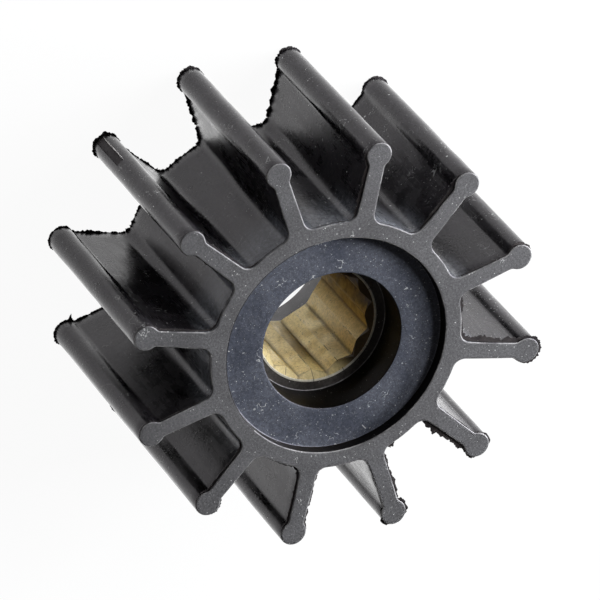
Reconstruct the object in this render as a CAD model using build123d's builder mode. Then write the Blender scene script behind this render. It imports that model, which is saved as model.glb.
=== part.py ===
from build123d import *
import math
import os

# Rubber pump impeller: a hub with flexible vanes, moulded round a brass drive insert.
# Millimetres. The axis is +Z, the face that stands on the table is z = 0, and one vane points along +X.

# Whole impeller
overall_diameter = 57.15
body_length = 31.75
vane_count = 12
vane_pitch = 360 / vane_count

# Vanes: a tapering web with a round bead along its tip
bead_radius = 1.75
bead_centre_radius = overall_diameter / 2 - bead_radius
web_root_thickness = 2.5
web_tip_thickness = 2.15
root_fillet = 1.5
neck_fillet = 0.9

# Hub: a shallow recess in each end face, and a wide bore that ends at the insert
hub_radius = 17.5
recess_radius = 15.2
recess_depth = 1.6
bore_radius = 9.6

# Insert: its place along the axis, its buried sleeve and the rims that show in the bore
insert_depth = 7.0
insert_length = 17.4
insert_top = body_length - insert_depth
insert_base = insert_top - insert_length
sleeve_radius = 11.5
rim_radius = 8.35
rim_height = 0.5
sleeve_base = insert_base + rim_height
sleeve_length = insert_length - 2 * rim_height
flute_count = 6
flute_radius = 1.2

# Drive bore: two hexagons that make a twelve-point spline, with a chamfer at each mouth
spline_major_radius = 7.9
spline_phase = 24.5
hexagon_sides = 6
chamfer_radius = 8.15
chamfer_depth = 1.15

# Damage: a shallow flat nick along the tip of one bead, at its lower end
nick_vane_angle = vane_pitch
nick_facing_angle = 23
nick_depth = 0.25
nick_width = 1.15
nick_length = 8.2

# How far a web's profile reaches into the hub, so that the two join
web_overlap = 1.0
web_inner_radius = hub_radius - web_overlap


def corner_radius(corner):
    """Gives a sketch corner's distance from the impeller's axis."""
    return math.hypot(corner.X, corner.Y)


# One vane's profile: the web, the bead and the small fillets between them
with BuildSketch() as vane_profile:
    with BuildLine():
        Polyline(
            (web_inner_radius, -web_root_thickness / 2),
            (bead_centre_radius, -web_tip_thickness / 2),
            (bead_centre_radius, web_tip_thickness / 2),
            (web_inner_radius, web_root_thickness / 2),
            close=True,
        )
    make_face()
    with Locations((bead_centre_radius, 0)):
        Circle(bead_radius)
    neck_corners = vane_profile.vertices().filter_by(
        lambda corner: hub_radius < corner_radius(corner) < bead_centre_radius
    )
    fillet(neck_corners, neck_fillet)

# The moulding's section: the hub and its vanes, with a fillet at each root
with BuildSketch() as body_section:
    Circle(hub_radius)
    with PolarLocations(0, vane_count):
        add(vane_profile.sketch)
    root_corners = body_section.vertices().filter_by(
        lambda corner: corner_radius(corner) < hub_radius + web_overlap
    )
    fillet(root_corners, root_fillet)

# The sleeve's section: round, with flutes that the rubber grips
with BuildSketch() as sleeve_section:
    Circle(sleeve_radius)
    with PolarLocations(sleeve_radius, flute_count):
        Circle(flute_radius, mode=Mode.SUBTRACT)

with BuildPart() as impeller_body:
    add(body_section.sketch)
    extrude(amount=body_length)

    # Recess in each end face
    with BuildSketch(Plane.XY):
        Circle(recess_radius)
    extrude(amount=recess_depth, mode=Mode.SUBTRACT)
    with BuildSketch(Plane.XY.offset(body_length)):
        Circle(recess_radius)
    extrude(amount=-recess_depth, mode=Mode.SUBTRACT)

    # Wide bore from each end, down to the insert
    with BuildSketch(Plane.XY):
        Circle(bore_radius)
    extrude(amount=insert_base, mode=Mode.SUBTRACT)
    with BuildSketch(Plane.XY.offset(body_length)):
        Circle(bore_radius)
    extrude(amount=-insert_depth, mode=Mode.SUBTRACT)

    # Space that the insert fills
    with BuildSketch(Plane.XY.offset(insert_base)):
        Circle(rim_radius)
    extrude(amount=insert_length, mode=Mode.SUBTRACT)
    with BuildSketch(Plane.XY.offset(sleeve_base)):
        add(sleeve_section.sketch)
    extrude(amount=sleeve_length, mode=Mode.SUBTRACT)

    # Nick in one bead
    vane_turn = math.radians(nick_vane_angle)
    facing_turn = math.radians(nick_facing_angle)
    nick_x = bead_centre_radius * math.cos(vane_turn) + bead_radius * math.cos(facing_turn)
    nick_y = bead_centre_radius * math.sin(vane_turn) + bead_radius * math.sin(facing_turn)
    with Locations(Location((nick_x, nick_y, 0), (0, 0, nick_facing_angle))):
        Box(
            2 * nick_depth,
            nick_width,
            nick_length,
            align=(Align.CENTER, Align.CENTER, Align.MIN),
            mode=Mode.SUBTRACT,
        )

with BuildPart() as spline_insert:
    # Rims and buried sleeve
    with BuildSketch(Plane.XY.offset(insert_base)):
        Circle(rim_radius)
    extrude(amount=insert_length)
    with BuildSketch(Plane.XY.offset(sleeve_base)):
        add(sleeve_section.sketch)
    extrude(amount=sleeve_length)

    # Drive bore and the chamfer at each mouth
    with BuildSketch(Plane.XY.offset(insert_base)):
        RegularPolygon(spline_major_radius, hexagon_sides, rotation=spline_phase)
        RegularPolygon(spline_major_radius, hexagon_sides, rotation=spline_phase + vane_pitch)
    extrude(amount=insert_length, mode=Mode.SUBTRACT)
    with Locations((0, 0, insert_top)):
        Cone(
            chamfer_radius - chamfer_depth,
            chamfer_radius,
            chamfer_depth,
            align=(Align.CENTER, Align.CENTER, Align.MAX),
            mode=Mode.SUBTRACT,
        )
    with Locations((0, 0, insert_base)):
        Cone(
            chamfer_radius,
            chamfer_radius - chamfer_depth,
            chamfer_depth,
            align=(Align.CENTER, Align.CENTER, Align.MIN),
            mode=Mode.SUBTRACT,
        )

impeller_body.part.label = "impeller_body"
spline_insert.part.label = "spline_insert"

os.makedirs("parts", exist_ok=True)
export_step(impeller_body.part, "parts/impeller_body.step")
export_step(spline_insert.part, "parts/spline_insert.step")
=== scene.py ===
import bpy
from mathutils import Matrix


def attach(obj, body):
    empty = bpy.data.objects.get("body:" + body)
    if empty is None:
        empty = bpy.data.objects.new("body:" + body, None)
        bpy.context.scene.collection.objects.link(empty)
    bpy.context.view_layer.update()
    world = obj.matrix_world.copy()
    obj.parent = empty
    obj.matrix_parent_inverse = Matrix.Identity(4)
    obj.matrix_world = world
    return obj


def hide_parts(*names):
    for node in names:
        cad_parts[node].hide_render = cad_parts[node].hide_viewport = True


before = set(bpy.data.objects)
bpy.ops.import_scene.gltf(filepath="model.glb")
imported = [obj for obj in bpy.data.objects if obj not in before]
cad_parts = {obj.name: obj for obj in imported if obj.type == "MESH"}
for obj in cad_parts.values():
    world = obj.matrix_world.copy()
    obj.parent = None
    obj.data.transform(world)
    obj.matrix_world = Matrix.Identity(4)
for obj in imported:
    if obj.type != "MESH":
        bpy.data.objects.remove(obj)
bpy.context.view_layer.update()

import logging
import math
from dataclasses import dataclass, field
from enum import Enum
from functools import reduce
from typing import Sequence

import bmesh
import bpy
from mathutils import Matrix, Vector, noise
from mathutils.kdtree import KDTree

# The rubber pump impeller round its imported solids: metres, the axis is +Z, and the vanes stand on z = 0.

MM = 0.001
MERGE = 0.0005 * MM
FINE_MERGE = 0.0001 * MM
BODY = "root"
MOULDING_NODE = "impeller_body"
INSERT_NODE = "spline_insert"
LOG = logging.getLogger("impeller")

Colour = tuple[float, float, float]
Point = tuple[float, float]
Place = tuple[float, float, float]
Piece = bpy.types.Object
Socket = bpy.types.NodeSocket


# ---------------------------------------------------------------- shaping


def deselect_all() -> None:
    """Leaves no object selected."""
    bpy.ops.object.select_all(action="DESELECT")


def make_active(piece: Piece) -> None:
    """Selects one object alone and makes it the active one.

    Args:
        piece: The object to work on.
    """
    deselect_all()
    piece.select_set(True)
    bpy.context.view_layer.objects.active = piece


def enter_edit(piece: Piece, select: str = "SELECT") -> None:
    """Opens a mesh in edit mode.

    Args:
        piece: The mesh object.
        select: What select_all does first.
    """
    make_active(piece)
    bpy.ops.object.mode_set(mode="EDIT")
    bpy.ops.mesh.select_mode(type="VERT")
    bpy.ops.mesh.select_all(action=select)


def leave_edit() -> None:
    """Goes back to object mode."""
    bpy.ops.object.mode_set(mode="OBJECT")


def start_ring(name: str, points: Sequence[Place]) -> Piece:
    """Adds a circle primitive with one vertex for each point, and puts its vertices there.

    Args:
        name: The new object's name.
        points: The ring's points, in order, in metres.

    Returns:
        The ring, a closed loop of edges.
    """
    deselect_all()
    bpy.ops.mesh.primitive_circle_add(vertices=len(points), radius=0.01, fill_type="NOTHING")
    ring = bpy.context.object
    ring.name = name
    ring.data.name = name
    for vertex, point in zip(ring.data.vertices, points):
        vertex.co = point
    return ring


def open_ring(ring: Piece) -> None:
    """Takes away the edge that joins a ring's last vertex to its first.

    Args:
        ring: A closed loop of edges.
    """
    last = len(ring.data.vertices) - 1
    enter_edit(ring, "DESELECT")
    bpy.ops.mesh.select_mode(type="EDGE")
    for edge in bmesh.from_edit_mesh(ring.data).edges:
        edge.select_set({vertex.index for vertex in edge.verts} == {0, last})
    bpy.ops.mesh.delete(type="EDGE")
    leave_edit()


def stack_rings(name: str, rings: Sequence[Sequence[Place]]) -> Piece:
    """Extrudes one ring of edges level by level, and puts each level on its own ring of points.

    Args:
        name: The new object's name.
        rings: The rings from first to last, with the same number of points each, in metres.

    Returns:
        The band of faces between the rings.
    """
    step = 0.001 * MM
    band = start_ring(name, [(x, y, 0.0) for x, y, _ in rings[0]])
    enter_edit(band)
    for _ in rings[1:]:
        bpy.ops.mesh.extrude_region_move(TRANSFORM_OT_translate={"value": (0.0, 0.0, step)})
    leave_edit()
    finder = KDTree(len(rings[0]))
    for index, (x, y, _) in enumerate(rings[0]):
        finder.insert((x, y, 0.0), index)
    finder.balance()
    for vertex in band.data.vertices:
        index = finder.find((vertex.co.x, vertex.co.y, 0.0))[1]
        vertex.co = rings[round(vertex.co.z / step)][index]
    return band


def join(first: Piece, second: Piece) -> Piece:
    """Joins one object into another.

    Args:
        first: The object that stays.
        second: The object that becomes part of it.

    Returns:
        The first object.
    """
    make_active(first)
    second.select_set(True)
    bpy.ops.object.join()
    return first


def face_outwards(piece: Piece, merge: float = MERGE) -> None:
    """Merges doubled vertices and turns every face outwards.

    Args:
        piece: The mesh object.
        merge: How near doubled vertices lie, in metres.
    """
    enter_edit(piece)
    bpy.ops.mesh.remove_doubles(threshold=merge)
    bpy.ops.mesh.normals_make_consistent(inside=False)
    leave_edit()


def smooth(piece: Piece, degrees: float) -> None:
    """Shades a mesh smooth, and keeps edges sharper than the angle."""
    make_active(piece)
    bpy.ops.object.shade_smooth_by_angle(angle=math.radians(degrees))


def dress(piece: Piece, *materials: bpy.types.Material) -> None:
    """Gives a piece its materials.

    Args:
        piece: The mesh object.
        materials: Its materials, in the order of its slots.
    """
    piece.data.materials.clear()
    for material in materials:
        piece.data.materials.append(material)


def hand_over(piece: Piece, *materials: bpy.types.Material) -> Piece:
    """Dresses a rubber piece, and says which body it rides on.

    Args:
        piece: The finished mesh object.
        materials: Its materials, in the order of its slots.

    Returns:
        The piece.
    """
    dress(piece, *materials)
    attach(piece, BODY)
    return piece


def spread(start: float, stop: float, steps: int) -> list[float]:
    """Gives evenly spaced numbers, both ends included, with the given number of gaps."""
    return [start + (stop - start) * step / steps for step in range(steps + 1)]


def arc(centre: Vector, radius: float, start: float, stop: float, steps: int) -> list[Vector]:
    """Gives points along an arc.

    Args:
        centre: The arc's centre.
        radius: Its radius.
        start: The first point's angle, in radians.
        stop: The last point's angle.
        steps: How many gaps lie between them.

    Returns:
        The points.
    """
    return [
        centre + Vector((radius * math.cos(turn), radius * math.sin(turn)))
        for turn in spread(start, stop, steps)
    ]


def rounded(corner: Point, across: float, along: float, steps: int) -> list[Point]:
    """Rounds a profile's corner by a quarter of a circle.

    Args:
        corner: The sharp corner.
        across: How far the first point lies from it along the first axis.
        along: How far the last point lies from it along the second axis.
        steps: How many gaps lie between the points.

    Returns:
        The points.
    """
    return [
        (corner[0] + across * (1 - math.cos(turn)), corner[1] + along * (1 - math.sin(turn)))
        for turn in spread(math.pi / 2, 0.0, steps)
    ]


def heading(azimuth: float, elevation: float = 0.0) -> Vector:
    """Gives the direction that two angles in degrees point in."""
    turn, lift = math.radians(azimuth), math.radians(elevation)
    return Vector((math.cos(lift) * math.cos(turn), math.cos(lift) * math.sin(turn), math.sin(lift)))


def ripple(*place: float) -> float:
    """Gives a smooth noise's value at a place."""
    return noise.noise(Vector(place))


# ---------------------------------------------------------------- the outline


@dataclass(frozen=True)
class VaneOutline:
    """The moulding's outline, all vanes and valleys, in millimetres."""

    hub_radius: float = 17.5
    bead_radius: float = 1.75
    bead_centre: float = 26.825
    root_start: float = 16.5
    root_half: float = 1.25
    tip_half: float = 1.075
    root_fillet: float = 1.5
    neck_fillet: float = 0.9
    vane_count: int = 12
    hub_steps: int = 3
    root_steps: int = 7
    web_steps: int = 6
    neck_steps: int = 5
    bead_steps: int = 12

    @property
    def pitch(self) -> float:
        """The angle from one vane to the next."""
        return 2 * math.pi / self.vane_count

    @property
    def web_length(self) -> float:
        """A vane's length from the hub to its bead's centre."""
        return self.bead_centre - self.hub_radius

    @property
    def sector_points(self) -> int:
        """How many points one vane and its valley take."""
        return 2 * (self.hub_steps + self.root_steps + self.web_steps + self.neck_steps + self.bead_steps)

    def _web_line(self) -> tuple[Vector, Vector, Vector]:
        """Gives the line of a web's side.

        Returns:
            Its start, direction and outward normal.
        """
        start = Vector((self.root_start, self.root_half))
        along = (Vector((self.bead_centre, self.tip_half)) - start).normalized()
        return start, along, Vector((-along.y, along.x))

    def _fillet_centre(self, towards: Vector, reach: float, fillet: float, near: bool) -> Vector:
        """Finds a fillet's centre: its own radius off the web, and a set distance from a point.

        Args:
            towards: The point that the distance is measured from.
            reach: That distance.
            fillet: The fillet's radius.
            near: True for the crossing nearer the axis.

        Returns:
            The centre.
        """
        start, along, normal = self._web_line()
        base = start + normal * fillet - towards
        half = base.dot(along)
        root = math.sqrt(half * half - base.dot(base) + reach * reach)
        distance = -half - root if near else -half + root
        return start + normal * fillet + along * distance

    def _half(self, inset: float) -> list[Vector]:
        """Gives half a sector, from the middle of a valley to a vane's tip.

        Args:
            inset: How far inside the moulding's surface the points lie.

        Returns:
            The points, in the vane's own frame.
        """
        normal = self._web_line()[2]
        axis, bead = Vector((0.0, 0.0)), Vector((self.bead_centre, 0.0))
        root = self._fillet_centre(axis, self.hub_radius + self.root_fillet, self.root_fillet, False)
        neck = self._fillet_centre(bead, self.bead_radius + self.neck_fillet, self.neck_fillet, True)
        root_radius = self.root_fillet + inset
        neck_radius = self.neck_fillet + inset
        root_angle = math.atan2(root.y, root.x)
        web_angle = math.atan2(-normal.y, -normal.x)
        neck_angle = math.atan2(-neck.y, bead.x - neck.x)
        bead_angle = math.atan2(neck.y, neck.x - bead.x)
        foot = root - normal * root_radius
        head = neck - normal * neck_radius
        return [
            *arc(axis, self.hub_radius - inset, self.pitch / 2, root_angle, self.hub_steps)[:-1],
            *arc(root, root_radius, root_angle + math.pi, web_angle % (2 * math.pi), self.root_steps),
            *(foot.lerp(head, share) for share in spread(0.0, 1.0, self.web_steps)[1:-1]),
            *arc(neck, neck_radius, web_angle, neck_angle, self.neck_steps),
            *arc(bead, self.bead_radius - inset, bead_angle, 0.0, self.bead_steps)[1:],
        ]

    def points(self, inset: float = 0.0) -> list[Point]:
        """Gives the whole outline, counter-clockwise from the valley before the first vane.

        Args:
            inset: How far inside the moulding's surface the outline lies.

        Returns:
            The points, in millimetres.
        """
        half = self._half(inset)
        sector = [Vector((point.x, -point.y)) for point in half] + half[-2:0:-1]
        outline = []
        for vane in range(self.vane_count):
            turn = Matrix.Rotation(vane * self.pitch, 2)
            outline += [tuple(turn @ point) for point in sector]
        return outline


# ---------------------------------------------------------------- node work


class NodeBench:
    """Adds and wires the nodes of one material or node group."""

    def __init__(self, tree: bpy.types.NodeTree) -> None:
        """Takes the tree to work on."""
        self.tree = tree

    def node(self, kind: str, **settings: object) -> bpy.types.Node:
        """Adds a node.

        Args:
            kind: The node's type, without its ShaderNode prefix.
            settings: The node's own properties.

        Returns:
            The node.
        """
        node = self.tree.nodes.new(kind if kind.startswith("Node") else "ShaderNode" + kind)
        for name, value in settings.items():
            setattr(node, name, value)
        return node

    def feed(self, socket: Socket, value: object) -> None:
        """Links a socket to an output, or sets its number, direction or colour.

        Args:
            socket: The input to feed.
            value: An output socket, a number, a direction or a colour.
        """
        if isinstance(value, Socket):
            self.tree.links.new(value, socket)
        elif isinstance(value, tuple) and socket.type == "RGBA":
            socket.default_value = (*value, 1.0)
        else:
            socket.default_value = value

    def math(self, operation: str, first: object, second: object = 0.0, clamp: bool = False) -> Socket:
        """Adds a Math node and gives its result.

        Args:
            operation: The Math node's operation.
            first: The first value or output.
            second: The second value or output.
            clamp: True to keep the result from 0 to 1.

        Returns:
            The result's socket.
        """
        node = self.node("Math", operation=operation, use_clamp=clamp)
        self.feed(node.inputs[0], first)
        self.feed(node.inputs[1], second)
        return node.outputs[0]

    def product(self, *values: object) -> Socket:
        """Multiplies values or outputs."""
        return reduce(lambda first, second: self.math("MULTIPLY", first, second), values)

    def total(self, first: object, second: object) -> Socket:
        """Adds two values or outputs."""
        return self.math("ADD", first, second)

    def above(self, value: object, limit: object) -> Socket:
        """Gives 1 where a value is over a limit, and else 0."""
        return self.math("GREATER_THAN", value, limit)

    def below(self, value: object, limit: object) -> Socket:
        """Gives 1 where a value is under a limit, and else 0."""
        return self.math("LESS_THAN", value, limit)

    def wander(self, tone: Socket, width: float) -> Socket:
        """Turns a slow tone into a swing round 0, of the given width."""
        return self.product(self.math("SUBTRACT", tone, 0.5), width)

    def vector(self, operation: str, *values: object) -> bpy.types.Node:
        """Adds a Vector Math node.

        Args:
            operation: The node's operation.
            values: Its vectors, as directions or outputs.

        Returns:
            The node.
        """
        node = self.node("VectorMath", operation=operation)
        for socket, value in zip(node.inputs, values):
            self.feed(socket, value)
        return node

    def scaled(self, colour: Socket, factor: Socket) -> Socket:
        """Makes a colour brighter or darker.

        Args:
            colour: The colour's output.
            factor: The output that it is multiplied by.

        Returns:
            The colour's socket.
        """
        node = self.vector("SCALE", colour)
        self.feed(node.inputs["Scale"], factor)
        return node.outputs[0]

    def from_axis(self, place: Socket) -> Socket:
        """Gives a place's distance from the impeller's axis."""
        flat = self.vector("MULTIPLY", place, (1.0, 1.0, 0.0)).outputs[0]
        return self.vector("LENGTH", flat).outputs["Value"]

    def span(self, value: object, low: float, high: float, to_low: float = 0.0, to_high: float = 1.0) -> Socket:
        """Maps a range smoothly onto another.

        Args:
            value: The value or output to map.
            low: The range's start.
            high: The range's end.
            to_low: What the start becomes.
            to_high: What the end becomes.

        Returns:
            The mapped value's socket.
        """
        node = self.node("MapRange", interpolation_type="SMOOTHSTEP")
        for socket, number in zip(node.inputs[:5], (value, low, high, to_low, to_high)):
            self.feed(socket, number)
        return node.outputs[0]

    def mix(self, share: object, first: object, second: object) -> Socket:
        """Mixes two colours.

        Args:
            share: How much of the second colour shows.
            first: The first colour or output.
            second: The second colour or output.

        Returns:
            The colour's socket.
        """
        node = self.node("Mix", data_type="RGBA")
        for index, value in ((0, share), (6, first), (7, second)):
            self.feed(node.inputs[index], value)
        return node.outputs[2]

    def noise(self, place: object, scale: object, detail: float = 2.0, roughness: float = 0.5) -> bpy.types.Node:
        """Adds a Noise texture.

        Args:
            place: The coordinates' output.
            scale: The noise's scale.
            detail: How many finer layers it has.
            roughness: How strong those layers are.

        Returns:
            The node.
        """
        node = self.node("TexNoise")
        for name, value in (("Vector", place), ("Scale", scale), ("Detail", detail), ("Roughness", roughness)):
            self.feed(node.inputs[name], value)
        return node

    def group(self, tree: bpy.types.NodeTree, **values: object) -> bpy.types.Node:
        """Places a node group.

        Args:
            tree: The group.
            values: Its inputs, by their names.

        Returns:
            The group's node.
        """
        node = self.node("Group")
        node.node_tree = tree
        for name, value in values.items():
            self.feed(node.inputs[name], value)
        return node

    def bump(self, shader: bpy.types.Node, height: Socket, depth: float) -> None:
        """Feeds a shader's normal from a height.

        Args:
            shader: The shader's node.
            height: The height's output.
            depth: How high 1 is, in metres.
        """
        node = self.node("Bump")
        node.inputs["Distance"].default_value = depth
        self.feed(node.inputs["Height"], height)
        self.feed(shader.inputs["Normal"], node.outputs["Normal"])


def start_material(name: str) -> tuple[bpy.types.Material, NodeBench, bpy.types.Node, Socket]:
    """Makes a material.

    Args:
        name: Its name.

    Returns:
        The material, its bench, its shader and the output of its Object coordinates.
    """
    material = bpy.data.materials.new(name)
    material.use_nodes = True
    bench = NodeBench(material.node_tree)
    return material, bench, material.node_tree.nodes["Principled BSDF"], bench.node("TexCoord").outputs["Object"]


class EffectGroup:
    """An effect that several materials share, as a node group."""

    def __init__(self, name: str, numbers: dict[str, float], outputs: Sequence[str]) -> None:
        """Makes the group and its sockets.

        Args:
            name: The group's name.
            numbers: The first value of each input but Place, by name.
            outputs: The outputs' names.
        """
        self.tree = bpy.data.node_groups.new(name, "ShaderNodeTree")
        self.tree.interface.new_socket(name="Place", in_out="INPUT", socket_type="NodeSocketVector")
        for label, number in numbers.items():
            socket = self.tree.interface.new_socket(name=label, in_out="INPUT", socket_type="NodeSocketFloat")
            socket.default_value = number
        for label in outputs:
            self.tree.interface.new_socket(name=label, in_out="OUTPUT", socket_type="NodeSocketFloat")
        self.bench = NodeBench(self.tree)
        self.inputs = self.bench.node("NodeGroupInput").outputs
        self.outputs = self.bench.node("NodeGroupOutput").inputs


def make_dust(push: float = 0.2 * MM, smallest: float = 0.35, sharpness: float = 18.0) -> bpy.types.NodeTree:
    """Builds the dust group: scattered specks, each with its own size.

    Args:
        push: How far the specks' edges are pushed out of round.
        smallest: The smallest speck's size, over the sizes' range.
        sharpness: How fast a speck's edge fades.

    Returns:
        The group. Mask is 1 on a bright speck and 0 off it.
    """
    effect = EffectGroup("dust_specks", {"Scale": 900.0, "Share": 0.1, "Size": 0.25}, ["Mask"])
    bench, place, scale = effect.bench, effect.inputs["Place"], effect.inputs["Scale"]
    ragged = bench.noise(place, bench.product(scale, 3.0)).outputs["Color"]
    pushed = bench.vector("MULTIPLY_ADD", ragged, (push, push, push), place).outputs[0]
    cells = bench.node("TexVoronoi", feature="F1")
    bench.feed(cells.inputs["Vector"], pushed)
    bench.feed(cells.inputs["Scale"], scale)
    draw = bench.node("SeparateColor")
    bench.feed(draw.inputs[0], cells.outputs["Color"])
    chosen = bench.below(draw.outputs[0], effect.inputs["Share"])
    radius = bench.product(bench.total(draw.outputs[1], smallest), effect.inputs["Size"])
    inside = bench.math("SUBTRACT", radius, cells.outputs["Distance"])
    edge = bench.math("MULTIPLY", inside, sharpness, clamp=True)
    bench.feed(effect.outputs["Mask"], bench.product(edge, chosen, draw.outputs[2]))
    return effect.tree


def make_scratches() -> bpy.types.NodeTree:
    """Builds the scratch group: thin curved scratches, and tangles of fine hairs.

    Returns:
        The group. Mask is 1 in a scratch or on a hair.
    """
    effect = EffectGroup("fine_scratches", {"Scale": 150.0, "Width": 0.0045, "Cover": 0.6}, ["Mask"])
    bench, place, scale = effect.bench, effect.inputs["Place"], effect.inputs["Scale"]

    def lines(curl: float, detail: float, roughness: float, width: Socket, patches: float, cover: Socket) -> Socket:
        """Draws thin lines where a noise crosses its middle, and keeps those in patches.

        Args:
            curl: The lines' noise scale, as a multiple of Scale.
            detail: How many finer layers that noise has.
            roughness: How strong those layers are.
            width: How far from its middle the noise still draws.
            patches: The patches' noise scale, as a multiple of Scale.
            cover: The patches' noise value, over which lines show.

        Returns:
            The mask's socket.
        """
        level = bench.noise(place, bench.product(scale, curl), detail, roughness).outputs["Fac"]
        line = bench.below(bench.math("ABSOLUTE", bench.math("SUBTRACT", level, 0.5)), width)
        patch = bench.noise(place, bench.product(scale, patches), 2.0, 0.6).outputs["Fac"]
        return bench.product(line, bench.above(patch, cover))

    width, cover = effect.inputs["Width"], effect.inputs["Cover"]
    scratches = lines(1.0, 1.0, 0.4, width, 3.1, cover)
    hairs = lines(6.0, 1.5, 0.5, bench.product(width, 2.4), 3.0, bench.math("SUBTRACT", cover, 0.035))
    bench.feed(effect.outputs["Mask"], bench.math("MAXIMUM", scratches, hairs))
    return effect.tree


def make_grain() -> bpy.types.NodeTree:
    """Builds the grain group: the fine unevenness of moulded or cut rubber.

    Returns:
        The group. Height is the grain, Tone a slower change of colour, Speckle the finest one, and Streak runs
        along the axis.
    """
    effect = EffectGroup("rubber_grain", {"Fine": 2500.0, "Slow": 180.0}, ["Height", "Tone", "Speckle", "Streak"])
    bench, place = effect.bench, effect.inputs["Place"]
    fine = bench.noise(place, effect.inputs["Fine"], 3.0, 0.7).outputs["Fac"]
    slow = bench.noise(place, effect.inputs["Slow"], 3.0, 0.55).outputs["Fac"]
    drawn_out = bench.vector("MULTIPLY", place, (1.0, 1.0, 0.05)).outputs[0]
    streak = bench.noise(drawn_out, bench.product(effect.inputs["Fine"], 0.7), 3.0, 0.6).outputs["Fac"]
    height = bench.total(bench.product(fine, 0.6), bench.product(slow, 0.4))
    for label, value in (("Height", height), ("Tone", slow), ("Speckle", fine), ("Streak", streak)):
        bench.feed(effect.outputs[label], value)
    return effect.tree


@dataclass
class EffectKit:
    """The node groups that the materials share."""

    dust: bpy.types.NodeTree = field(default_factory=make_dust)
    scratches: bpy.types.NodeTree = field(default_factory=make_scratches)
    grain: bpy.types.NodeTree = field(default_factory=make_grain)


# ---------------------------------------------------------------- finishes


@dataclass(frozen=True)
class RubberFinish:
    """One finish of the black rubber. Lengths are in metres."""

    name: str
    dark: Colour
    light: Colour
    roughness: float
    roughness_swing: float = 0.08
    specular: float = 0.5
    gloss_tint: Colour = (0.98, 0.90, 1.0)
    tone_range: Point = (0.3, 0.7)
    grain_fine: float = 2500.0
    grain_slow: float = 180.0
    grain_depth: float = 0.02 * MM
    speckle: float = 0.3
    speckle_range: Point = (0.32, 0.68)
    streak: float = 0.0
    streak_range: Point = (0.35, 0.65)
    dust_colour: Colour = (0.55, 0.55, 0.52)
    dust_share: float = 0.1
    dust_size: float = 0.2
    dust_scale: float = 2600.0
    dust_height: float = 0.8
    powder_share: float = 0.06
    powder_size: float = 0.3
    powder_scale: float = 6760.0
    powder_strength: float = 0.5
    lint_share: float = 0.03
    lint_size: float = 0.16
    lint_scale: float = 1170.0
    scratch_cover: float = 0.75
    scratch_strength: float = 0.25
    scratch_height: float = 0.5
    # Painted light: how much lighter the hub's sides are painted near the front, where light falls.
    front_light: float = 0.0
    front_light_colour: Colour = (0.13, 0.135, 0.15)
    front_light_heights: Point = (22.0 * MM, 29.5 * MM)
    front_light_radii: Point = (20.5 * MM, 18.2 * MM)
    front_light_wander: float = 4.0 * MM

    def _dust(self, bench: NodeBench, kit: EffectKit, place: Socket) -> Socket:
        """Gives the mask of all specks: dust, finer powder and coarser lint.

        Args:
            bench: The material's bench.
            kit: The shared node groups.
            place: The Object coordinates.

        Returns:
            The mask's socket.
        """
        specks, powder, lint = (
            bench.group(kit.dust, Place=place, Scale=scale, Share=share, Size=size).outputs["Mask"]
            for scale, share, size in (
                (self.dust_scale, self.dust_share, self.dust_size),
                (self.powder_scale, self.powder_share, self.powder_size),
                (self.lint_scale, self.lint_share, self.lint_size),
            )
        )
        fine = bench.math("MAXIMUM", bench.product(powder, self.powder_strength), lint)
        return bench.math("MAXIMUM", specks, fine)

    def _paint_front_light(self, bench: NodeBench, place: Socket, tone: Socket, colour: Socket) -> Socket:
        """Paints light on the hub's sides near the front: a lighter colour where light falls on them.

        Args:
            bench: The material's bench.
            place: The Object coordinates.
            tone: A slow change over the surface.
            colour: The colour so far.

        Returns:
            The colour's socket.
        """
        split = bench.node("SeparateXYZ")
        bench.feed(split.inputs[0], place)
        height = bench.total(split.outputs[2], bench.wander(tone, self.front_light_wander))
        front = bench.span(height, *self.front_light_heights)
        inner = bench.span(bench.from_axis(place), *self.front_light_radii)
        return bench.mix(bench.product(front, inner, self.front_light), colour, self.front_light_colour)

    def build(self, kit: EffectKit) -> bpy.types.Material:
        """Makes the material.

        Args:
            kit: The shared node groups.

        Returns:
            The material.
        """
        material, bench, shader, place = start_material(self.name)
        grain = bench.group(kit.grain, Place=place, Fine=self.grain_fine, Slow=self.grain_slow).outputs
        dust = self._dust(bench, kit, place)
        marks = bench.group(kit.scratches, Place=place, Cover=self.scratch_cover).outputs["Mask"]
        colour = bench.mix(bench.span(grain["Tone"], *self.tone_range), self.dark, self.light)
        # Painted light on the hub's sides near the front.
        if self.front_light:
            colour = self._paint_front_light(bench, place, grain["Tone"], colour)
        spotted = bench.span(grain["Speckle"], *self.speckle_range, 1.0 - self.speckle, 1.0 + self.speckle)
        colour = bench.scaled(colour, spotted)
        colour = bench.mix(bench.product(marks, self.scratch_strength), colour, self.dust_colour)
        bench.feed(shader.inputs["Base Color"], bench.mix(dust, colour, self.dust_colour))
        smoothest, roughest = self.roughness - self.roughness_swing, self.roughness + self.roughness_swing
        rough = bench.span(grain["Tone"], *self.tone_range, smoothest, roughest)
        if self.streak:
            rough = bench.total(rough, bench.span(grain["Streak"], *self.streak_range, -self.streak, self.streak))
        bench.feed(shader.inputs["Roughness"], rough)
        raised = bench.total(bench.product(dust, self.dust_height), bench.product(marks, self.scratch_height))
        bench.bump(shader, bench.total(grain["Height"], raised), self.grain_depth)
        shader.inputs["Specular IOR Level"].default_value = self.specular
        shader.inputs["Specular Tint"].default_value = (*self.gloss_tint, 1.0)
        return material


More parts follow.
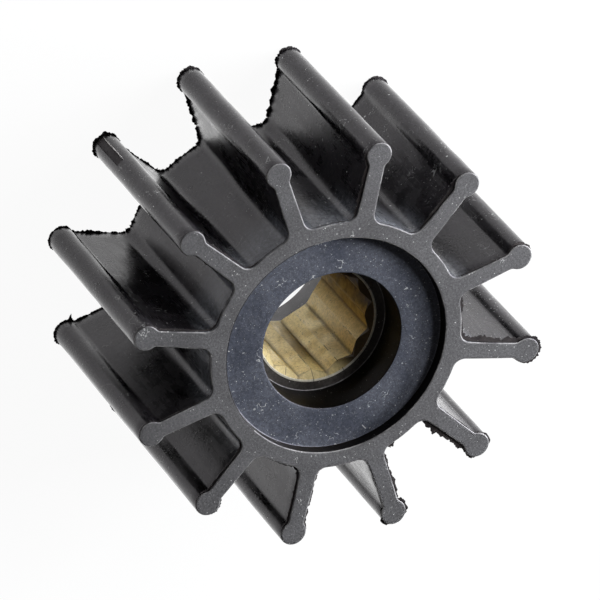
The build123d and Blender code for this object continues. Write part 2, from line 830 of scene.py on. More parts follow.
@dataclass(frozen=True)
class BrassFinish:
    """The drive insert's dull, pitted brass, painted darker to one side: painted shade, with tarnish there too.
    Lengths are in metres.
    """

    name: str = "aged_brass"
    bright: Colour = (0.97, 0.77, 0.34)
    brown: Colour = (0.43, 0.26, 0.03)
    dark: Colour = (0.02, 0.01, 0.004)
    # Painted shade: the brass is painted bright towards this side, and brown then dark away from it, with some
    # tarnish.
    painted_light_side: Place = (-0.373, 0.927, 0.029)
    brown_span: Point = (-7.0 * MM, 1.2 * MM)
    dark_span: Point = (-7.6 * MM, -3.6 * MM)
    tarnish_span: Point = (-6.5 * MM, 0.0)
    tarnish: float = 0.4
    shade_and_age_wander: float = 6.0 * MM
    crest_angle: float = math.radians(9.5)
    crest_pitch: float = math.radians(30.0)
    # Painted highlight along the spline's crests, and painted shade in its valleys.
    crest_highlight_colour: Colour = (0.82, 0.67, 0.38)
    crest_width: float = 0.07
    crest_highlight_share: float = 0.35
    valley_shade_colour: Colour = (0.09, 0.05, 0.02)
    valley_width: float = 0.4
    valley_shade_share: float = 0.6
    mouth_height: float = 23.75 * MM
    lip: Colour = (0.34, 0.28, 0.17)
    lip_share: float = 0.55
    # Painted shade darkens the mouth away from this side; a painted highlight lies along its rim.
    mouth_lit_side: Place = (-0.766, 0.643, 0.0)
    mouth_lit_span: Point = (3.6 * MM, 5.8 * MM)
    mouth_shade_share: float = 0.93
    rim_radius: float = 8.06 * MM
    rim_highlight_colour: Colour = (0.6, 0.58, 0.52)
    rim_highlight_share: float = 0.8
    # A dark line along the crests near the mouth.
    dark_line_height: float = 19.0 * MM
    dark_line_width: float = 0.011
    dark_line_share: float = 0.8
    speckle: Point = (0.84, 1.1)
    speckle_range: Point = (0.34, 0.66)
    pit_colour: Colour = (0.05, 0.03, 0.012)
    pit_scale: float = 4200.0
    pit_share: float = 0.26
    pit_size: float = 0.3
    roughness: Point = (0.32, 0.54)
    tone_range: Point = (0.3, 0.7)
    metallic: float = 0.15
    specular: float = 0.25
    grain_fine: float = 3000.0
    grain_slow: float = 420.0
    grain_depth: float = 0.02 * MM

    def _from_crest(self, bench: NodeBench, across: Socket, along: Socket) -> Socket:
        """Gives how far a place lies from the nearest crest of the spline.

        Args:
            bench: The material's bench.
            across: The place along X.
            along: The place along Y.

        Returns:
            The distance's socket, from 0 on a crest to 0.5 in a valley.
        """
        turn = bench.math("ARCTAN2", along, across)
        share = bench.math("DIVIDE", bench.math("SUBTRACT", turn, self.crest_angle), self.crest_pitch)
        return bench.math("ABSOLUTE", bench.math("SUBTRACT", share, bench.math("ROUND", share)))

    def _mouth(self, bench: NodeBench, place: Socket, height: Socket, colour: Socket) -> Socket:
        """Colours the front mouth: its lip, painted shade on its far side and a painted highlight along its rim.

        Args:
            bench: The material's bench.
            place: The Object coordinates.
            height: The place's height.
            colour: The colour so far.

        Returns:
            The colour's socket.
        """
        mouth = bench.above(height, self.mouth_height)
        facing = bench.vector("DOT_PRODUCT", place, self.mouth_lit_side).outputs["Value"]
        # Painted shade on the mouth's far side.
        painted_tone = bench.product(mouth, bench.span(facing, *self.mouth_lit_span, 1.0, 0.0))
        # Painted highlight along the rim.
        rim = bench.product(mouth, bench.above(bench.from_axis(place), self.rim_radius))
        colour = bench.mix(bench.product(mouth, self.lip_share), colour, self.lip)
        colour = bench.mix(bench.product(painted_tone, self.mouth_shade_share), colour, self.dark)
        return bench.mix(bench.product(rim, self.rim_highlight_share), colour, self.rim_highlight_colour)

    def build(self, kit: EffectKit) -> bpy.types.Material:
        """Makes the material.

        Args:
            kit: The shared node groups.

        Returns:
            The material.
        """
        material, bench, shader, place = start_material(self.name)
        grain = bench.group(kit.grain, Place=place, Fine=self.grain_fine, Slow=self.grain_slow).outputs
        pitted = bench.group(kit.dust, Place=place, Scale=self.pit_scale, Share=self.pit_share, Size=self.pit_size)
        pits = pitted.outputs["Mask"]
        split = bench.node("SeparateXYZ")
        bench.feed(split.inputs[0], place)
        across, along, height = split.outputs
        # Painted shade and age: the colour runs from bright on one side to brown and dark on the other.
        side = bench.vector("DOT_PRODUCT", place, self.painted_light_side).outputs["Value"]
        shade_and_age = bench.total(side, bench.wander(grain["Tone"], self.shade_and_age_wander))
        from_crest = self._from_crest(bench, across, along)
        # Painted highlight on each crest, and painted shade in each valley.
        crest = bench.span(from_crest, 0.0, self.crest_width, 1.0, 0.0)
        valley = bench.span(from_crest, self.valley_width, 0.5)
        colour = bench.mix(bench.span(shade_and_age, *self.brown_span), self.brown, self.bright)
        colour = bench.mix(bench.span(shade_and_age, *self.dark_span), self.dark, colour)
        colour = bench.mix(bench.product(crest, self.crest_highlight_share), colour, self.crest_highlight_colour)
        colour = bench.mix(bench.product(valley, self.valley_shade_share), colour, self.valley_shade_colour)
        colour = self._mouth(bench, place, height, colour)
        # A dark line along the crests near the mouth.
        line = bench.product(bench.below(from_crest, self.dark_line_width), bench.above(grain["Tone"], 0.5))
        near_mouth = bench.above(height, self.dark_line_height)
        colour = bench.mix(bench.product(line, near_mouth, self.dark_line_share), colour, self.dark)
        colour = bench.scaled(colour, bench.span(grain["Speckle"], *self.speckle_range, *self.speckle))
        bench.feed(shader.inputs["Base Color"], bench.mix(pits, colour, self.pit_colour))
        tarnish = bench.span(shade_and_age, *self.tarnish_span, self.tarnish, 0.0)
        rough = bench.span(grain["Tone"], *self.tone_range, *self.roughness)
        bench.feed(shader.inputs["Roughness"], bench.math("ADD", rough, tarnish, clamp=True))
        shader.inputs["Metallic"].default_value = self.metallic
        shader.inputs["Specular IOR Level"].default_value = self.specular
        bench.bump(shader, bench.math("SUBTRACT", grain["Speckle"], pits), self.grain_depth)
        return material


class Surface(Enum):
    """The moulding's kinds of surface, each with its own finish."""

    SIDE = 0
    FACE = 1
    EDGE = 2
    FLOOR = 3
    BORE = 4
    NICK = 5
    LEDGE = 6


RUBBER_FINISHES = {
    # The sides' finish paints light on the hub's sides near the front.
    Surface.SIDE: RubberFinish(
        "moulded_rubber", (0.011, 0.0098, 0.0112), (0.026, 0.0238, 0.0265), 0.27, roughness_swing=0.06, specular=0.11,
        grain_fine=1900.0, grain_depth=0.034 * MM, speckle=0.4, streak=0.035, front_light=0.85,
        dust_colour=(0.8, 0.8, 0.78), dust_size=0.17, lint_share=0.06, scratch_cover=0.63, scratch_strength=0.24,
    ),
    Surface.FACE: RubberFinish(
        "cut_rubber", (0.081, 0.080, 0.081), (0.106, 0.105, 0.107), 0.72, specular=0.35,
        grain_fine=3400.0, grain_depth=0.034 * MM, dust_colour=(0.68, 0.68, 0.66), dust_share=0.26, dust_size=0.17,
        powder_share=0.42, lint_share=0.2, scratch_cover=0.68, scratch_strength=0.55,
    ),
    # Rounded edges: some wear, and a lighter colour that paints the highlight they catch.
    Surface.EDGE: RubberFinish(
        "edge_wear_and_highlight", (0.06, 0.06, 0.06), (0.24, 0.235, 0.23), 0.5, grain_slow=420.0, dust_share=0.2, dust_size=0.22,
    ),
    Surface.FLOOR: RubberFinish(
        "recess_rubber", (0.045, 0.051, 0.068), (0.071, 0.078, 0.097), 0.5, roughness_swing=0.07,
        grain_fine=3000.0, speckle=0.34, dust_colour=(0.62, 0.63, 0.62), dust_share=0.3, dust_size=0.18,
        powder_share=0.4, lint_share=0.2, scratch_cover=0.645, scratch_strength=0.6,
    ),
    # The bore's rubber is painted near black as painted shade: the same rubber, darker where shade falls inside.
    Surface.BORE: RubberFinish(
        "bore_rubber_shade", (0.002, 0.0017, 0.0013), (0.006, 0.0048, 0.003), 0.4, specular=0.2,
        dust_share=0.06, dust_size=0.16,
    ),
    Surface.NICK: RubberFinish(
        "cut_nick", (0.012, 0.010, 0.010), (0.034, 0.031, 0.031), 0.75, specular=0.2,
        grain_depth=0.05 * MM, dust_share=0.05, dust_size=0.16,
    ),
    Surface.LEDGE: RubberFinish(
        "ledge_rubber", (0.026, 0.023, 0.020), (0.055, 0.050, 0.044), 0.5, specular=0.35, dust_share=0.14,
    ),
}
TORN_RUBBER = RubberFinish("torn_rubber", (0.008, 0.0065, 0.006), (0.034, 0.029, 0.027), 0.6, specular=0.3)
# The nick's lip is near white: a painted highlight on a black rubber lip.
NICK_LIP_HIGHLIGHT = RubberFinish("nick_lip_highlight", (0.5, 0.48, 0.46), (0.8, 0.78, 0.76), 0.5)


# ---------------------------------------------------------------- the moulding


@dataclass
class RubberMoulding:
    """The rubber body: hub, vanes, recesses and bore, in one piece. Millimetres and degrees."""

    outline: VaneOutline = field(default_factory=VaneOutline)
    length: float = 31.75
    edge_round: float = 0.16
    flat_margin: float = 0.34
    edge_steps: int = 3
    level_count: int = 18
    recess_radius: float = 15.2
    recess_depth: float = 1.6
    recess_cove: float = 0.25
    floor_rings: tuple[float, ...] = (13.5, 11.5, 10.1)
    bore_radius: float = 9.6
    bore_cove: float = 0.2
    cove_steps: int = 4
    ledge_high: float = 24.75
    ledge_low: float = 7.35
    rim_radius: float = 8.35
    rim_height: float = 0.5
    sleeve_radius: float = 11.5
    flute_radius: float = 1.2
    flute_count: int = 6
    spin_steps: int = 180
    smooth_angle: float = 38.0
    wave_depth: float = 0.035
    wave_rate: float = 0.16
    swell_rate: float = 0.11
    # Turns where a recess's rim is painted light; the rest of the rim is painted dark as shade.
    lit_rim_turns: Point = (115.0, 355.0)
    nick_vane: float = 30.0
    nick_facing: float = 23.0
    nick_depth: float = 0.25
    nick_width: float = 1.15
    nick_length: float = 8.2
    cutter_reach: float = 0.75
    cutter_drop: float = 0.5
    still_radius: float = 17.7
    furthest_share: float = 1.15
    lean_power: float = 1.6
    lean: tuple[float, ...] = (-0.1, 0.0, 0.0, -0.05, 0.0, -0.25, -0.1, 0.0, 0.3, 0.1, 0.1, 0.0)
    reach: tuple[float, ...] = (0.0, 0.0, 0.0, 0.0, -0.3, 0.0, 0.2, 0.0, 0.4, 0.0, 0.0, 0.0)

    def _levels(self) -> list[Point]:
        """Gives the outline's levels from z = 0 to the top.

        Returns:
            Each level's height and how far its outline is inset.
        """
        bend = rounded((0.0, 0.0), self.edge_round, self.edge_round, self.edge_steps)
        low = [(0.0, self.flat_margin), *((height, inset) for inset, height in bend)]
        high = [(self.length - height, inset) for height, inset in reversed(low)]
        middle = [(height, 0.0) for height in spread(low[-1][0], high[0][0], self.level_count)[1:-1]]
        return low + middle + high

    def _outer(self) -> Piece:
        """Extrudes the outline through its levels, which round both ends.

        Returns:
            The open outer shell.
        """
        rings = []
        for height, inset in self._levels():
            rings.append([(x * MM, y * MM, height * MM) for x, y in self.outline.points(inset)])
        return stack_rings("rubber_moulding", rings)

    def _end_profile(self) -> list[Point]:
        """Gives the inside's profile from an end face to the bore's edge.

        Returns:
            The points from the outside in, as radius and depth.
        """
        bend, cove, depth = self.edge_round, self.recess_cove, self.recess_depth
        return [
            (self.recess_radius + self.flat_margin, 0.0),
            *rounded((self.recess_radius, 0.0), bend, bend, self.edge_steps),
            *reversed(rounded((self.recess_radius, depth), -cove, -cove, self.cove_steps)),
            *((radius, depth) for radius in self.floor_rings),
            *rounded((self.bore_radius, depth), bend, bend, self.edge_steps),
        ]

    def _profile(self) -> list[Point]:
        """Gives the inside's whole profile.

        Returns:
            The points from the top face down to the bottom face, as radius and height.
        """
        end = self._end_profile()
        cove, high, low = self.bore_cove, self.ledge_high, self.ledge_low
        return [
            *((radius, self.length - depth) for radius, depth in end),
            *reversed(rounded((self.bore_radius, high), -cove, cove, self.cove_steps)),
            (self.rim_radius, high),
            (self.rim_radius, high - self.rim_height),
            (self.sleeve_radius, high - self.rim_height),
            (self.sleeve_radius, low + self.rim_height),
            (self.rim_radius, low + self.rim_height),
            (self.rim_radius, low),
            *rounded((self.bore_radius, low), -cove, -cove, self.cove_steps),
            *reversed(end),
        ]

    def _inner(self) -> Piece:
        """Spins the inside's profile round the axis.

        Returns:
            The open inner shell.
        """
        profile = [(radius * MM, 0.0, height * MM) for radius, height in self._profile()]
        ring = start_ring("rubber_inside", profile)
        open_ring(ring)
        enter_edit(ring)
        bpy.ops.mesh.spin(steps=self.spin_steps, angle=2 * math.pi, center=(0, 0, 0), axis=(0, 0, 1))
        bpy.ops.mesh.select_all(action="SELECT")
        bpy.ops.mesh.remove_doubles(threshold=MERGE)
        leave_edit()
        self._press_keys(ring)
        return ring

    def _press_keys(self, inside: Piece) -> None:
        """Lets the buried cavity's wall follow the insert's flutes.

        Args:
            inside: The inner shell.
        """
        near = 0.01
        pitch = 2 * math.pi / self.flute_count
        for vertex in inside.data.vertices:
            x, y, height = (number / MM for number in vertex.co)
            on_wall = abs(math.hypot(x, y) - self.sleeve_radius) <= near
            if not (on_wall and self.ledge_low < height < self.ledge_high):
                continue
            turn = math.atan2(y, x)
            offset = turn - round(turn / pitch) * pitch
            under = self.flute_radius**2 - (self.sleeve_radius * math.sin(offset)) ** 2
            if under > 0:
                pressed = self.sleeve_radius * math.cos(offset) - math.sqrt(under)
                vertex.co.x, vertex.co.y = pressed * math.cos(turn) * MM, pressed * math.sin(turn) * MM

    def _close(self, shell: Piece) -> None:
        """Fills the flat of each end face between the outline and the recess.

        Args:
            shell: The joined outer and inner shells.
        """
        for height in (self.length * MM, 0.0):
            enter_edit(shell, "DESELECT")
            bpy.ops.mesh.select_mode(type="EDGE")
            for edge in bmesh.from_edit_mesh(shell.data).edges:
                level = all(abs(vertex.co.z - height) < 0.001 * MM for vertex in edge.verts)
                if edge.is_boundary and level:
                    edge.select_set(True)
            bmesh.update_edit_mesh(shell.data)
            bpy.ops.mesh.fill(use_beauty=True)
            leave_edit()

    def nick_bead(self) -> Vector:
        """Gives the middle of the nicked bead."""
        return heading(self.nick_vane) * self.outline.bead_centre

    def _cut_nick(self, shell: Piece) -> None:
        """Cuts the shallow nick into the damaged bead's lower end.

        Args:
            shell: The closed moulding.
        """
        reach, drop = self.cutter_reach, self.cutter_drop
        centre = self.nick_bead() + heading(self.nick_facing) * (self.outline.bead_radius + reach)
        deselect_all()
        bpy.ops.mesh.primitive_cube_add(
            size=1.0,
            location=(centre.x * MM, centre.y * MM, (self.nick_length - drop) / 2 * MM),
            rotation=(0, 0, math.radians(self.nick_facing)),
            scale=(2 * (self.nick_depth + reach) * MM, self.nick_width * MM, (self.nick_length + drop) * MM),
        )
        cutter = bpy.context.object
        make_active(shell)
        cut = shell.modifiers.new("nick", "BOOLEAN")
        cut.operation = "DIFFERENCE"
        cut.solver = "EXACT"
        cut.object = cutter
        bpy.ops.object.modifier_apply(modifier=cut.name)
        bpy.data.objects.remove(cutter)

    def _in_nick(self, place: Vector) -> bool:
        """Says whether a point lies in the nick.

        Args:
            place: The point, in millimetres.

        Returns:
            True on the nick's floor or one of its walls.
        """
        under, over, margin, foot = 0.12, 0.165, 0.02, 0.002
        floor = self.outline.bead_radius - self.nick_depth
        outwards = heading(self.nick_facing)
        offset = Vector((place.x, place.y, 0.0)) - self.nick_bead()
        aside = abs(offset.dot(Vector((-outwards.y, outwards.x, 0.0))))
        return (
            floor - under < offset.dot(outwards) < floor + over
            and aside < 0.5 * self.nick_width + margin
            and foot < place.z < self.nick_length + margin
        )

    def shift(self, place: Vector) -> Vector:
        """Gives how far a point of the moulding lies from its drawn place.

        Args:
            place: The point, in millimetres.

        Returns:
            The shift, in millimetres: the vane's lean and reach, and a slight wave.
        """
        radius = math.hypot(place.x, place.y)
        if radius < self.still_radius:
            return Vector((0.0, 0.0, 0.0))
        pitch = self.outline.pitch
        vane = round(math.atan2(place.y, place.x) / pitch) % self.outline.vane_count
        share = min((radius - self.outline.hub_radius) / self.outline.web_length, self.furthest_share)
        along = Vector((math.cos(vane * pitch), math.sin(vane * pitch), 0.0))
        across = Vector((-along.y, along.x, 0.0))
        wave = ripple(vane * 7.3, place.z * self.wave_rate, 0.0) * 2 * self.wave_depth
        swell = ripple(vane * 3.1, place.z * self.swell_rate, 5.0) * self.wave_depth
        aside = self.lean[vane] * share**self.lean_power + wave * share
        return across * aside + along * (self.reach[vane] + swell) * share

    def settled(self, place: Vector) -> Place:
        """Gives where a drawn point, in millimetres, ends up, in metres."""
        return tuple((place + self.shift(place)) * MM)

    def _kind_of(self, centre: Vector, normal: Vector) -> Surface:
        """Says which kind of surface a face is.

        Args:
            centre: The face's middle, in millimetres.
            normal: The face's outward direction.

        Returns:
            The kind of surface.
        """
        wall, flat, clear = 0.05, 0.6, 0.5
        ledge, lip_height, lip_reach = 0.02, 0.1, 0.3
        face_depth, edge_depth = 0.004, self.edge_round * 0.75
        radius = math.hypot(centre.x, centre.y)
        rise = centre.z - self.ledge_high
        depth = min(self.length - centre.z, centre.z)
        if self._in_nick(centre):
            return Surface.NICK
        if abs(rise) < ledge and radius > self.rim_radius:
            return Surface.LEDGE
        # The edge just above the ledge takes the lighter edge finish as a painted highlight line.
        if 0 < rise < lip_height and radius > self.bore_radius - lip_reach:
            return Surface.EDGE
        if radius < self.recess_radius - wall:
            on_floor = abs(depth - self.recess_depth) < wall and abs(normal.z) > flat
            return Surface.FLOOR if on_floor else Surface.BORE
        if depth < face_depth:
            return Surface.FACE
        if depth < edge_depth:
            # Edges take the lighter edge finish as a painted highlight, save the recess rim's far side, which takes
            # the bore's dark finish as painted shade.
            painted_tone = radius > self.recess_radius + clear or self._on_lit_rim(centre)
            return Surface.EDGE if painted_tone else Surface.BORE
        return Surface.BORE if radius < self.outline.hub_radius - clear else Surface.SIDE

    def _on_lit_rim(self, place: Vector) -> bool:
        """Says whether a point of a recess's rim is on the side painted light; the rest gets the dark bore finish as
        painted shade.
        """
        turn = math.degrees(math.atan2(place.y, place.x)) % 360
        return self.lit_rim_turns[0] < turn < self.lit_rim_turns[1]

    def build(self, kit: EffectKit) -> Piece:
        """Builds and dresses the moulding.

        Args:
            kit: The shared node groups.

        Returns:
            The piece.
        """
        shell = join(self._outer(), self._inner())
        self._close(shell)
        face_outwards(shell)
        self._cut_nick(shell)
        for vertex in shell.data.vertices:
            vertex.co += self.shift(vertex.co / MM) * MM
        smooth(shell, self.smooth_angle)
        hand_over(shell, *(RUBBER_FINISHES[surface].build(kit) for surface in Surface))
        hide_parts(MOULDING_NODE)
        for face in shell.data.polygons:
            face.material_index = self._kind_of(face.center / MM, face.normal).value
        return shell


# ---------------------------------------------------------------- flash and burr


@dataclass(frozen=True)
class Tear:
    """A stretch where the flash is wider: its vane, its share of that vane's outline, and its width."""

    vane: int
    start: float
    stop: float
    width: float


@dataclass
class MouldingFlash:
    """A thin ragged fin of rubber that the mould left along the outline. Millimetres.

    A mix is a plain amount, then the weights of the slow, fine and jagged ripple.
    """

    name: str
    moulding: RubberMoulding
    low: float
    thickness: float
    reach: float
    seed: float
    tears: tuple[Tear, ...]
    bead_reach: float = 0.0
    root_depth: float = 0.2
    sample: float = 0.14
    trim: float = 0.02
    lift_share: float = 0.25
    lift_rate: float = 40.0
    edge_shares: Point = (0.15, 0.7)
    smooth_angle: float = 30.0
    slow_rate: float = 26.0
    fine_rate: float = 95.0
    jag_rate: float = 230.0
    bead_half: float = 0.17
    bead_trim: float = 0.6
    tear_slope: float = 4.0
    fringe_mix: tuple[float, ...] = (0.6, 0.8, 0.7, 0.5)
    tear_mix: tuple[float, ...] = (0.78, 0.5, 0.4, 0.22)
    bead_mix: tuple[float, ...] = (0.9, 0.5, 0.12, 0.0)
    finish: RubberFinish = TORN_RUBBER

    def _stations(self) -> list[tuple[Vector, Vector, float]]:
        """Walks round the outline in short steps.

        Returns:
            Each step's point, its outward direction, and its place counted in vanes.
        """
        flat = [Vector(point) for point in self.moulding.outline.points()]
        out = [Vector(point) for point in self.moulding.outline.points(-1.0)]
        stations = []
        for index, point in enumerate(flat):
            follower = (index + 1) % len(flat)
            steps = max(1, math.ceil((flat[follower] - point).length / self.sample))
            for step in range(steps):
                share = step / steps
                place = point.lerp(flat[follower], share)
                outwards = (out[index] - point).lerp(out[follower] - flat[follower], share)
                stations.append((place, outwards, (index + share) / self.moulding.outline.sector_points))
        return stations

    def _width(self, place: float) -> float:
        """Gives the fin's ragged width at a place.

        Args:
            place: The place along the outline, counted in vanes.

        Returns:
            The width, in millimetres. It is below 0 where the fin is gone.
        """
        ripples = (
            ripple(place * self.slow_rate, self.seed, 0.0),
            ripple(place * self.fine_rate, self.seed, 4.0),
            ripple(place * self.jag_rate, self.seed, 9.0),
        )

        def mixed(mix: tuple[float, ...]) -> float:
            """Adds up a mix's plain amount and its weighted ripples."""
            return sum((weight * value for weight, value in zip(mix[1:], ripples)), mix[0])

        vane, share = int(place), place % 1
        at_bead = max(0.0, 1 - (abs(share - 0.5) / self.bead_half) ** 4)
        width = self.reach * (1 - self.bead_trim * at_bead) * mixed(self.fringe_mix)
        for tear in self.tears:
            if tear.vane == vane and tear.start < share < tear.stop:
                inside = (share - tear.start) / (tear.stop - tear.start)
                taper = min(1.0, self.tear_slope * inside, self.tear_slope * (1 - inside))
                width += tear.width * taper * mixed(self.tear_mix)
        return width + self.bead_reach * at_bead * mixed(self.bead_mix) - self.trim

    def build(self, kit: EffectKit) -> Piece:
        """Builds and dresses the fin.

        Args:
            kit: The shared node groups.

        Returns:
            The piece.
        """
        corners: list[list[Place]] = [[], [], [], []]
        for point, outwards, place in self._stations():
            lift = self.lift_share * self.thickness * ripple(place * self.lift_rate, self.seed, 2.0)
            inner = point - outwards * self.root_depth
            outer = point + outwards * self._width(place)
            under, over = (share * self.thickness + lift for share in self.edge_shares)
            heights = (0.0, under, over, self.thickness)
            for ring, flat, height in zip(corners, (inner, outer, outer, inner), heights):
                ring.append(self.moulding.settled(Vector((flat.x, flat.y, self.low + height))))
        fin = stack_rings(self.name, [*corners, corners[0]])
        face_outwards(fin, FINE_MERGE)
        smooth(fin, self.smooth_angle)
        return hand_over(fin, self.finish.build(kit))


BACK_TEARS = (
    Tear(1, 0.34, 0.66, 0.17),
    Tear(1, 0.70, 0.98, 0.12),
    Tear(0, 0.40, 0.66, 0.13),
    Tear(0, 0.66, 0.95, 0.14),
    Tear(11, 0.42, 0.66, 0.11),
    Tear(11, 0.66, 0.95, 0.14),
    Tear(10, 0.40, 0.60, 0.12),
    Tear(3, 0.40, 0.62, 0.10),
    Tear(3, 0.322, 0.345, 1.2),
    Tear(6, 0.93, 0.99, 0.7),
)
FRONT_TEARS = (
    Tear(11, 0.62, 0.92, 0.36),
    Tear(10, 0.60, 0.86, 0.42),
    Tear(9, 0.50, 0.66, 0.30),
    Tear(9, 0.0, 0.12, 0.50),
    Tear(8, 0.34, 0.66, 0.50),
    Tear(8, 0.62, 1.0, 0.72),
    Tear(7, 0.54, 0.64, 0.32),
    Tear(7, 0.36, 0.44, 0.32),
    Tear(7, 0.08, 0.36, 0.80),
    Tear(6, 0.56, 0.72, 0.45),
    Tear(6, 0.74, 0.88, 0.40),
    Tear(6, 0.93, 0.97, 0.75),
    Tear(6, 0.38, 0.46, 0.35),
    Tear(5, 0.62, 0.92, 0.26),
    Tear(5, 0.0, 0.36, 0.26),
    Tear(4, 0.0, 0.36, 0.24),
    Tear(4, 0.55, 0.75, 0.24),
    Tear(2, 0.0, 0.36, 0.26),
    Tear(1, 0.0, 0.34, 0.16),
)


@dataclass
class NickBurr:
    """The thin raised lip along one side of the nick, pale as a painted highlight. Millimetres."""

    moulding: RubberMoulding
    start: float = 0.5
    stop: float = 8.1
    steps: int = 40
    half_width: float = 0.085
    lift: float = 0.11
    section: tuple[Point, ...] = ((1.2, -0.9), (1.0, 0.1), (0.2, 1.0), (-0.8, 0.5), (-1.1, -0.9))
    end_size: float = 0.25
    end_slope: float = 6.0
    size_mix: Point = (0.8, 0.5)
    size_rate: float = 1.7
    wander: float = 0.05
    wander_rate: float = 0.8
    smooth_angle: float = 50.0
    finish: RubberFinish = NICK_LIP_HIGHLIGHT

    def _size(self, share: float, height: float) -> float:
        """Gives the lip's size at a share of its length: small at both ends, and uneven between them."""
        taper = min(1.0, self.end_size + self.end_slope * share, self.end_size + self.end_slope * (1 - share))
        return taper * (self.size_mix[0] + self.size_mix[1] * ripple(height * self.size_rate, 2.0, 0.0))

    def build(self, kit: EffectKit) -> Piece:
        """Builds and dresses the lip.

        Args:
            kit: The shared node groups.

        Returns:
            The piece.
        """
        outwards = heading(self.moulding.nick_facing)
        aside = Vector((outwards.y, -outwards.x, 0.0))
        edge = 0.5 * (self.moulding.nick_width + self.half_width)
        rise = math.sqrt(self.moulding.outline.bead_radius**2 - edge**2)
        rings = []
        for step, height in enumerate(spread(self.start, self.stop, self.steps)):
            size = self._size(step / self.steps, height)
            shifted = edge + self.wander * ripple(height * self.wander_rate, 7.0, 0.0)
            middle = self.moulding.nick_bead() + aside * shifted + outwards * rise
            middle.z = height
            rings.append([
                self.moulding.settled(
                    middle + aside * (across * self.half_width * size) + outwards * (up * self.lift * size)
                )
                for across, up in self.section
            ])
        lip = stack_rings("nick_burr", rings)
        enter_edit(lip, "DESELECT")
        bpy.ops.mesh.select_non_manifold()
        bpy.ops.mesh.edge_face_add()
        leave_edit()
        face_outwards(lip, FINE_MERGE)
        smooth(lip, self.smooth_angle)
        return hand_over(lip, self.finish.build(kit))


# ---------------------------------------------------------------- the insert


@dataclass
class DriveInsert:
    """The brass insert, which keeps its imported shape."""

    finish: BrassFinish = BrassFinish()

    def build(self, kit: EffectKit) -> Piece:
        """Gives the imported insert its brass.

        Args:
            kit: The shared node groups.

        Returns:
            The insert.
        """
        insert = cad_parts[INSERT_NODE]
        dress(insert, self.finish.build(kit))
        return insert


# ---------------------------------------------------------------- the studio


def add_to_scene(data: bpy.types.ID, place: Vector, rotation: Matrix) -> Piece:
    """Adds a lamp or a camera to the scene under its own data's name.

    Args:
        data: The lamp's or the camera's data.
        place: Where it stands, in metres.
        rotation: How it is turned.

    Returns:
        The new object.
    """
    added = bpy.data.objects.new(data.name, data)
    bpy.context.scene.collection.objects.link(added)
    added.matrix_world = Matrix.Translation(place) @ rotation.to_4x4()
    return added


@dataclass(frozen=True)
class Softbox:
    """A soft square lamp that faces the object. Degrees, metres and watts."""

    name: str
    azimuth: float
    elevation: float
    distance: float
    size: float
    power: float
    colour: Colour

    def place(self) -> Piece:
        """Adds the lamp to the scene.

        Returns:
            The lamp.
        """
        away = heading(self.azimuth, self.elevation)
        data = bpy.data.lights.new(self.name, "AREA")
        data.size = self.size
        data.energy = self.power
        data.color = self.colour
        return add_to_scene(data, away * self.distance, away.to_track_quat("Z", "Y").to_matrix())


SOFTBOXES = (
    Softbox("key_softbox", 259.0, 21.0, 0.3, 0.14, 2.25, (0.93, 0.96, 1.0)),
    Softbox("top_softbox", 286.0, 44.0, 0.28, 0.08, 0.46, (0.97, 0.98, 1.0)),
    Softbox("fill_softbox", 90.0, 60.0, 0.6, 0.4, 0.1, (1.0, 0.96, 0.92)),
)


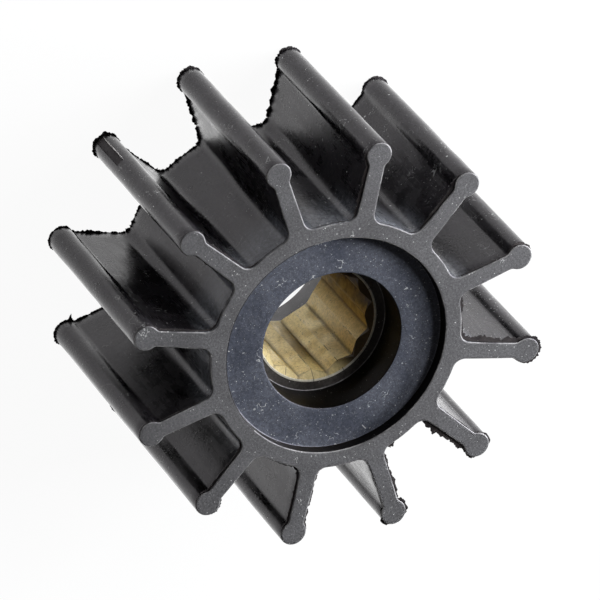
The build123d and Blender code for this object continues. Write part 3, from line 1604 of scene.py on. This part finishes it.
@dataclass
class Studio:
    """The pale floor, the soft lights and the camera. Metres and degrees, and the lens in millimetres."""

    azimuth: float = 19.37
    elevation: float = 56.595
    roll: float = 138.05
    lens: float = 461.27
    sensor: float = 36.0
    clip: Point = (0.05, 20.0)
    aim: Place = (-1.157 * MM, -0.853 * MM, 15.875 * MM)
    distance: float = 1.0067
    room_light: float = 0.05
    floor_size: float = 6.0
    floor_drop: float = 0.1 * MM
    floor_white: Colour = (0.98, 0.98, 0.98)
    floor_glow: float = 0.95
    floor_gleam: float = 2.2

    def _camera(self) -> None:
        """Sets the camera where the photograph was taken from."""
        roll = math.radians(self.roll)
        back, level = heading(self.azimuth, self.elevation), heading(self.azimuth + 90.0)
        right = level * math.cos(roll) + back.cross(level) * math.sin(roll)
        data = bpy.data.cameras.new("camera")
        data.lens = self.lens
        data.sensor_width = self.sensor
        data.clip_start, data.clip_end = self.clip
        rotation = Matrix((right, back.cross(right), back)).transposed()
        bpy.context.scene.camera = add_to_scene(data, Vector(self.aim) + back * self.distance, rotation)

    def _behind(self, bench: NodeBench) -> Socket:
        """Gives 1 for rays from the camera or a clear material."""
        path = bench.node("LightPath").outputs
        return bench.math("MAXIMUM", path["Is Camera Ray"], path["Is Transmission Ray"])

    def _first_gloss(self, bench: NodeBench) -> Socket:
        """Gives 1 for the first reflection of a ray from the camera."""
        path = bench.node("LightPath").outputs
        return bench.product(path["Is Glossy Ray"], bench.below(path["Ray Depth"], 1.5))

    def _world(self) -> None:
        """Lights the scene evenly and weakly, and shows white behind the object."""
        world = bpy.data.worlds.new("studio")
        bpy.context.scene.world = world
        world.use_nodes = True
        bench = NodeBench(world.node_tree)
        ground = world.node_tree.nodes["Background"].inputs
        bench.feed(ground["Color"], (1.0, 1.0, 1.0))
        bench.feed(ground["Strength"], bench.math("MAXIMUM", self._behind(bench), self.room_light))

    def _floor(self) -> None:
        """Lays a white floor that keeps a soft shadow, and that glows for the camera and for first reflections."""
        deselect_all()
        bpy.ops.mesh.primitive_plane_add(size=self.floor_size, location=(0.0, 0.0, -self.floor_drop))
        floor = bpy.context.object
        floor.name = "studio_floor"
        material = bpy.data.materials.new("studio_white")
        material.use_nodes = True
        nodes = material.node_tree.nodes
        nodes.remove(nodes["Principled BSDF"])
        bench = NodeBench(material.node_tree)
        matt, glow, blend = (bench.node(kind) for kind in ("BsdfDiffuse", "Emission", "MixShader"))
        behind, gloss = self._behind(bench), self._first_gloss(bench)
        bench.feed(matt.inputs["Color"], self.floor_white)
        bench.feed(glow.inputs["Strength"], bench.math("MAXIMUM", behind, bench.product(gloss, self.floor_gleam)))
        bench.feed(blend.inputs[0], bench.product(bench.math("MAXIMUM", behind, gloss), self.floor_glow))
        bench.feed(blend.inputs[1], matt.outputs[0])
        bench.feed(blend.inputs[2], glow.outputs[0])
        bench.feed(nodes["Material Output"].inputs["Surface"], blend.outputs[0])
        dress(floor, material)

    def build(self) -> None:
        """Sets up the camera, the floor, the lights and the colours' view."""
        self._camera()
        self._floor()
        self._world()
        for softbox in SOFTBOXES:
            softbox.place()
        bpy.context.scene.view_settings.view_transform = "Standard"


def main() -> None:
    """Builds the object's pieces in order and reports each one."""
    logging.basicConfig(level=logging.INFO, format="%(name)s: %(message)s")
    Studio().build()
    kit = EffectKit()
    body = RubberMoulding()
    for part in (
        body,
        MouldingFlash(
            "back_flash", body, low=0.0, thickness=0.16, reach=0.3, seed=3.0, tears=BACK_TEARS, bead_reach=0.08
        ),
        MouldingFlash(
            "front_flash", body, low=body.length - 0.42, thickness=0.2, reach=0.1, seed=8.0, tears=FRONT_TEARS
        ),
        NickBurr(body),
        DriveInsert(),
    ):
        piece = part.build(kit)
        LOG.info("%s: %d faces", piece.name, len(piece.data.polygons))


if __name__ == "__main__":
    main()
